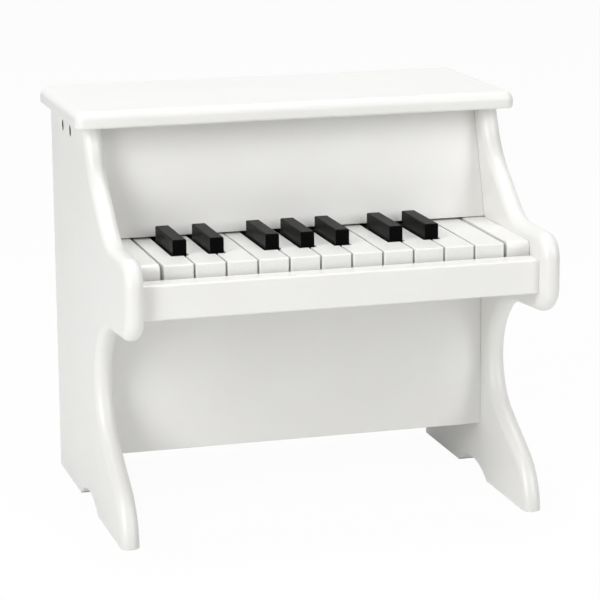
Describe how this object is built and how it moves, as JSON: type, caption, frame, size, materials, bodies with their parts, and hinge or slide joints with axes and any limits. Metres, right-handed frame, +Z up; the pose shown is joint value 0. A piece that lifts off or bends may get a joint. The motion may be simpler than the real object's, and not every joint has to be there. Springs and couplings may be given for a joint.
{
  "type": "toy piano",
  "caption": "White toy upright piano with scrolled side panels; sprung piano keys swing hammers at tuned steel chime rods inside a closed wooden case.",
  "frame": {"origin": "on the floor under the middle of the whole piano", "axes": "+X along the keyboard to the high notes, +Y to the back, +Z up"},
  "size_m": [0.313, 0.25, 0.282],
  "materials": {
    "white_lacquer": "sprayed white satin lacquer on wood board",
    "bare_beech": "planed bare beech",
    "white_key_paint": "white paint on wood",
    "black_key_paint": "satin black paint on wood",
    "spring_brass": "stamped spring brass sheet",
    "steel_wire": "drawn steel wire",
    "zinc_screws": "zinc plated steel",
    "cast_iron": "black painted casting",
    "wool_felt": "pressed wool felt",
    "hammer_plastic": "moulded ABS"
  },
  "bodies": {
    "case": {"left_side_panel": "white_lacquer", "right_side_panel": "white_lacquer", "lid": "white_lacquer", "upper_front_panel": "white_lacquer", "lower_front_panel": "white_lacquer", "back_panel": "white_lacquer", "key_slip": "white_lacquer", "left_key_block": "white_lacquer", "right_key_block": "white_lacquer", "key_bed": "white_lacquer", "bottom_board": "white_lacquer", "balance_rail": "bare_beech", "hammer_rail": "bare_beech", "top_rail": "bare_beech", "key_spring_comb": "spring_brass", "key_pivot_wire": "steel_wire", "hammer_pivot_wire": "steel_wire", "chime_rods": "steel_wire", "chime_bolts": "zinc_screws", "side_screws": "zinc_screws", "back_panel_screws": "zinc_screws", "comb_screws": "zinc_screws", "chime_bar": "cast_iron", "key_felts": "wool_felt"},
    "white_key_01": {"white_key_01": "white_key_paint"},
    "hammer_01": {"hammer_01": "hammer_plastic"},
    "black_key_01": {"black_key_01": "black_key_paint"},
    "hammer_02": {"hammer_02": "hammer_plastic"},
    "white_key_02": {"white_key_02": "white_key_paint"},
    "hammer_03": {"hammer_03": "hammer_plastic"},
    "black_key_02": {"black_key_02": "black_key_paint"},
    "hammer_04": {"hammer_04": "hammer_plastic"},
    "white_key_03": {"white_key_03": "white_key_paint"},
    "hammer_05": {"hammer_05": "hammer_plastic"},
    "white_key_04": {"white_key_04": "white_key_paint"},
    "hammer_06": {"hammer_06": "hammer_plastic"},
    "black_key_03": {"black_key_03": "black_key_paint"},
    "hammer_07": {"hammer_07": "hammer_plastic"},
    "white_key_05": {"white_key_05": "white_key_paint"},
    "hammer_08": {"hammer_08": "hammer_plastic"},
    "black_key_04": {"black_key_04": "black_key_paint"},
    "hammer_09": {"hammer_09": "hammer_plastic"},
    "white_key_06": {"white_key_06": "white_key_paint"},
    "hammer_10": {"hammer_10": "hammer_plastic"},
    "black_key_05": {"black_key_05": "black_key_paint"},
    "hammer_11": {"hammer_11": "hammer_plastic"},
    "white_key_07": {"white_key_07": "white_key_paint"},
    "hammer_12": {"hammer_12": "hammer_plastic"},
    "white_key_08": {"white_key_08": "white_key_paint"},
    "hammer_13": {"hammer_13": "hammer_plastic"},
    "black_key_06": {"black_key_06": "black_key_paint"},
    "hammer_14": {"hammer_14": "hammer_plastic"},
    "white_key_09": {"white_key_09": "white_key_paint"},
    "hammer_15": {"hammer_15": "hammer_plastic"},
    "black_key_07": {"black_key_07": "black_key_paint"},
    "hammer_16": {"hammer_16": "hammer_plastic"},
    "white_key_10": {"white_key_10": "white_key_paint"},
    "hammer_17": {"hammer_17": "hammer_plastic"},
    "white_key_11": {"white_key_11": "white_key_paint"},
    "hammer_18": {"hammer_18": "hammer_plastic"}
  },
  "joints": [
    {"name": "white_key_01_press", "type": "hinge", "parent": "case", "child": "white_key_01", "pos_m": [0, 0.004, 0.1862], "axis": [1, 0, 0], "range_deg": [0, 3.37], "stiffness_Nm_per_rad": 0.35, "springref_deg": -5.16},
    {"name": "hammer_01_swing", "type": "hinge", "parent": "case", "child": "hammer_01", "pos_m": [0, 0.07, 0.197], "axis": [1, 0, 0], "range_deg": [-20.9, 0]},
    {"name": "black_key_01_press", "type": "hinge", "parent": "case", "child": "black_key_01", "pos_m": [0, 0.004, 0.1862], "axis": [1, 0, 0], "range_deg": [0, 3.37], "stiffness_Nm_per_rad": 0.35, "springref_deg": -5.16},
    {"name": "hammer_02_swing", "type": "hinge", "parent": "case", "child": "hammer_02", "pos_m": [0, 0.07, 0.197], "axis": [1, 0, 0], "range_deg": [-20.9, 0]},
    {"name": "white_key_02_press", "type": "hinge", "parent": "case", "child": "white_key_02", "pos_m": [0, 0.004, 0.1862], "axis": [1, 0, 0], "range_deg": [0, 3.37], "stiffness_Nm_per_rad": 0.35, "springref_deg": -5.16},
    {"name": "hammer_03_swing", "type": "hinge", "parent": "case", "child": "hammer_03", "pos_m": [0, 0.07, 0.197], "axis": [1, 0, 0], "range_deg": [-20.9, 0]},
    {"name": "black_key_02_press", "type": "hinge", "parent": "case", "child": "black_key_02", "pos_m": [0, 0.004, 0.1862], "axis": [1, 0, 0], "range_deg": [0, 3.37], "stiffness_Nm_per_rad": 0.35, "springref_deg": -5.16},
    {"name": "hammer_04_swing", "type": "hinge", "parent": "case", "child": "hammer_04", "pos_m": [0, 0.07, 0.197], "axis": [1, 0, 0], "range_deg": [-20.9, 0]},
    {"name": "white_key_03_press", "type": "hinge", "parent": "case", "child": "white_key_03", "pos_m": [0, 0.004, 0.1862], "axis": [1, 0, 0], "range_deg": [0, 3.37], "stiffness_Nm_per_rad": 0.35, "springref_deg": -5.16},
    {"name": "hammer_05_swing", "type": "hinge", "parent": "case", "child": "hammer_05", "pos_m": [0, 0.07, 0.197], "axis": [1, 0, 0], "range_deg": [-20.9, 0]},
    {"name": "white_key_04_press", "type": "hinge", "parent": "case", "child": "white_key_04", "pos_m": [0, 0.004, 0.1862], "axis": [1, 0, 0], "range_deg": [0, 3.37], "stiffness_Nm_per_rad": 0.35, "springref_deg": -5.16},
    {"name": "hammer_06_swing", "type": "hinge", "parent": "case", "child": "hammer_06", "pos_m": [0, 0.07, 0.197], "axis": [1, 0, 0], "range_deg": [-20.9, 0]},
    {"name": "black_key_03_press", "type": "hinge", "parent": "case", "child": "black_key_03", "pos_m": [0, 0.004, 0.1862], "axis": [1, 0, 0], "range_deg": [0, 3.37], "stiffness_Nm_per_rad": 0.35, "springref_deg": -5.16},
    {"name": "hammer_07_swing", "type": "hinge", "parent": "case", "child": "hammer_07", "pos_m": [0, 0.07, 0.197], "axis": [1, 0, 0], "range_deg": [-20.9, 0]},
    {"name": "white_key_05_press", "type": "hinge", "parent": "case", "child": "white_key_05", "pos_m": [0, 0.004, 0.1862], "axis": [1, 0, 0], "range_deg": [0, 3.37], "stiffness_Nm_per_rad": 0.35, "springref_deg": -5.16},
    {"name": "hammer_08_swing", "type": "hinge", "parent": "case", "child": "hammer_08", "pos_m": [0, 0.07, 0.197], "axis": [1, 0, 0], "range_deg": [-20.9, 0]},
    {"name": "black_key_04_press", "type": "hinge", "parent": "case", "child": "black_key_04", "pos_m": [0, 0.004, 0.1862], "axis": [1, 0, 0], "range_deg": [0, 3.37], "stiffness_Nm_per_rad": 0.35, "springref_deg": -5.16},
    {"name": "hammer_09_swing", "type": "hinge", "parent": "case", "child": "hammer_09", "pos_m": [0, 0.07, 0.197], "axis": [1, 0, 0], "range_deg": [-20.9, 0]},
    {"name": "white_key_06_press", "type": "hinge", "parent": "case", "child": "white_key_06", "pos_m": [0, 0.004, 0.1862], "axis": [1, 0, 0], "range_deg": [0, 3.37], "stiffness_Nm_per_rad": 0.35, "springref_deg": -5.16},
    {"name": "hammer_10_swing", "type": "hinge", "parent": "case", "child": "hammer_10", "pos_m": [0, 0.07, 0.197], "axis": [1, 0, 0], "range_deg": [-20.9, 0]},
    {"name": "black_key_05_press", "type": "hinge", "parent": "case", "child": "black_key_05", "pos_m": [0, 0.004, 0.1862], "axis": [1, 0, 0], "range_deg": [0, 3.37], "stiffness_Nm_per_rad": 0.35, "springref_deg": -5.16},
    {"name": "hammer_11_swing", "type": "hinge", "parent": "case", "child": "hammer_11", "pos_m": [0, 0.07, 0.197], "axis": [1, 0, 0], "range_deg": [-20.9, 0]},
    {"name": "white_key_07_press", "type": "hinge", "parent": "case", "child": "white_key_07", "pos_m": [0, 0.004, 0.1862], "axis": [1, 0, 0], "range_deg": [0, 3.37], "stiffness_Nm_per_rad": 0.35, "springref_deg": -5.16},
    {"name": "hammer_12_swing", "type": "hinge", "parent": "case", "child": "hammer_12", "pos_m": [0, 0.07, 0.197], "axis": [1, 0, 0], "range_deg": [-20.9, 0]},
    {"name": "white_key_08_press", "type": "hinge", "parent": "case", "child": "white_key_08", "pos_m": [0, 0.004, 0.1862], "axis": [1, 0, 0], "range_deg": [0, 3.37], "stiffness_Nm_per_rad": 0.35, "springref_deg": -5.16},
    {"name": "hammer_13_swing", "type": "hinge", "parent": "case", "child": "hammer_13", "pos_m": [0, 0.07, 0.197], "axis": [1, 0, 0], "range_deg": [-20.9, 0]},
    {"name": "black_key_06_press", "type": "hinge", "parent": "case", "child": "black_key_06", "pos_m": [0, 0.004, 0.1862], "axis": [1, 0, 0], "range_deg": [0, 3.37], "stiffness_Nm_per_rad": 0.35, "springref_deg": -5.16},
    {"name": "hammer_14_swing", "type": "hinge", "parent": "case", "child": "hammer_14", "pos_m": [0, 0.07, 0.197], "axis": [1, 0, 0], "range_deg": [-20.9, 0]},
    {"name": "white_key_09_press", "type": "hinge", "parent": "case", "child": "white_key_09", "pos_m": [0, 0.004, 0.1862], "axis": [1, 0, 0], "range_deg": [0, 3.37], "stiffness_Nm_per_rad": 0.35, "springref_deg": -5.16},
    {"name": "hammer_15_swing", "type": "hinge", "parent": "case", "child": "hammer_15", "pos_m": [0, 0.07, 0.197], "axis": [1, 0, 0], "range_deg": [-20.9, 0]},
    {"name": "black_key_07_press", "type": "hinge", "parent": "case", "child": "black_key_07", "pos_m": [0, 0.004, 0.1862], "axis": [1, 0, 0], "range_deg": [0, 3.37], "stiffness_Nm_per_rad": 0.35, "springref_deg": -5.16},
    {"name": "hammer_16_swing", "type": "hinge", "parent": "case", "child": "hammer_16", "pos_m": [0, 0.07, 0.197], "axis": [1, 0, 0], "range_deg": [-20.9, 0]},
    {"name": "white_key_10_press", "type": "hinge", "parent": "case", "child": "white_key_10", "pos_m": [0, 0.004, 0.1862], "axis": [1, 0, 0], "range_deg": [0, 3.37], "stiffness_Nm_per_rad": 0.35, "springref_deg": -5.16},
    {"name": "hammer_17_swing", "type": "hinge", "parent": "case", "child": "hammer_17", "pos_m": [0, 0.07, 0.197], "axis": [1, 0, 0], "range_deg": [-20.9, 0]},
    {"name": "white_key_11_press", "type": "hinge", "parent": "case", "child": "white_key_11", "pos_m": [0, 0.004, 0.1862], "axis": [1, 0, 0], "range_deg": [0, 3.37], "stiffness_Nm_per_rad": 0.35, "springref_deg": -5.16},
    {"name": "hammer_18_swing", "type": "hinge", "parent": "case", "child": "hammer_18", "pos_m": [0, 0.07, 0.197], "axis": [1, 0, 0], "range_deg": [-20.9, 0]}
  ],
  "couplings": [
    {"joint": "hammer_01_swing", "follows": "white_key_01_press", "ratio": -6.2},
    {"joint": "hammer_02_swing", "follows": "black_key_01_press", "ratio": -6.2},
    {"joint": "hammer_03_swing", "follows": "white_key_02_press", "ratio": -6.2},
    {"joint": "hammer_04_swing", "follows": "black_key_02_press", "ratio": -6.2},
    {"joint": "hammer_05_swing", "follows": "white_key_03_press", "ratio": -6.2},
    {"joint": "hammer_06_swing", "follows": "white_key_04_press", "ratio": -6.2},
    {"joint": "hammer_07_swing", "follows": "black_key_03_press", "ratio": -6.2},
    {"joint": "hammer_08_swing", "follows": "white_key_05_press", "ratio": -6.2},
    {"joint": "hammer_09_swing", "follows": "black_key_04_press", "ratio": -6.2},
    {"joint": "hammer_10_swing", "follows": "white_key_06_press", "ratio": -6.2},
    {"joint": "hammer_11_swing", "follows": "black_key_05_press", "ratio": -6.2},
    {"joint": "hammer_12_swing", "follows": "white_key_07_press", "ratio": -6.2},
    {"joint": "hammer_13_swing", "follows": "white_key_08_press", "ratio": -6.2},
    {"joint": "hammer_14_swing", "follows": "black_key_06_press", "ratio": -6.2},
    {"joint": "hammer_15_swing", "follows": "white_key_09_press", "ratio": -6.2},
    {"joint": "hammer_16_swing", "follows": "black_key_07_press", "ratio": -6.2},
    {"joint": "hammer_17_swing", "follows": "white_key_10_press", "ratio": -6.2},
    {"joint": "hammer_18_swing", "follows": "white_key_11_press", "ratio": -6.2}
  ]
}
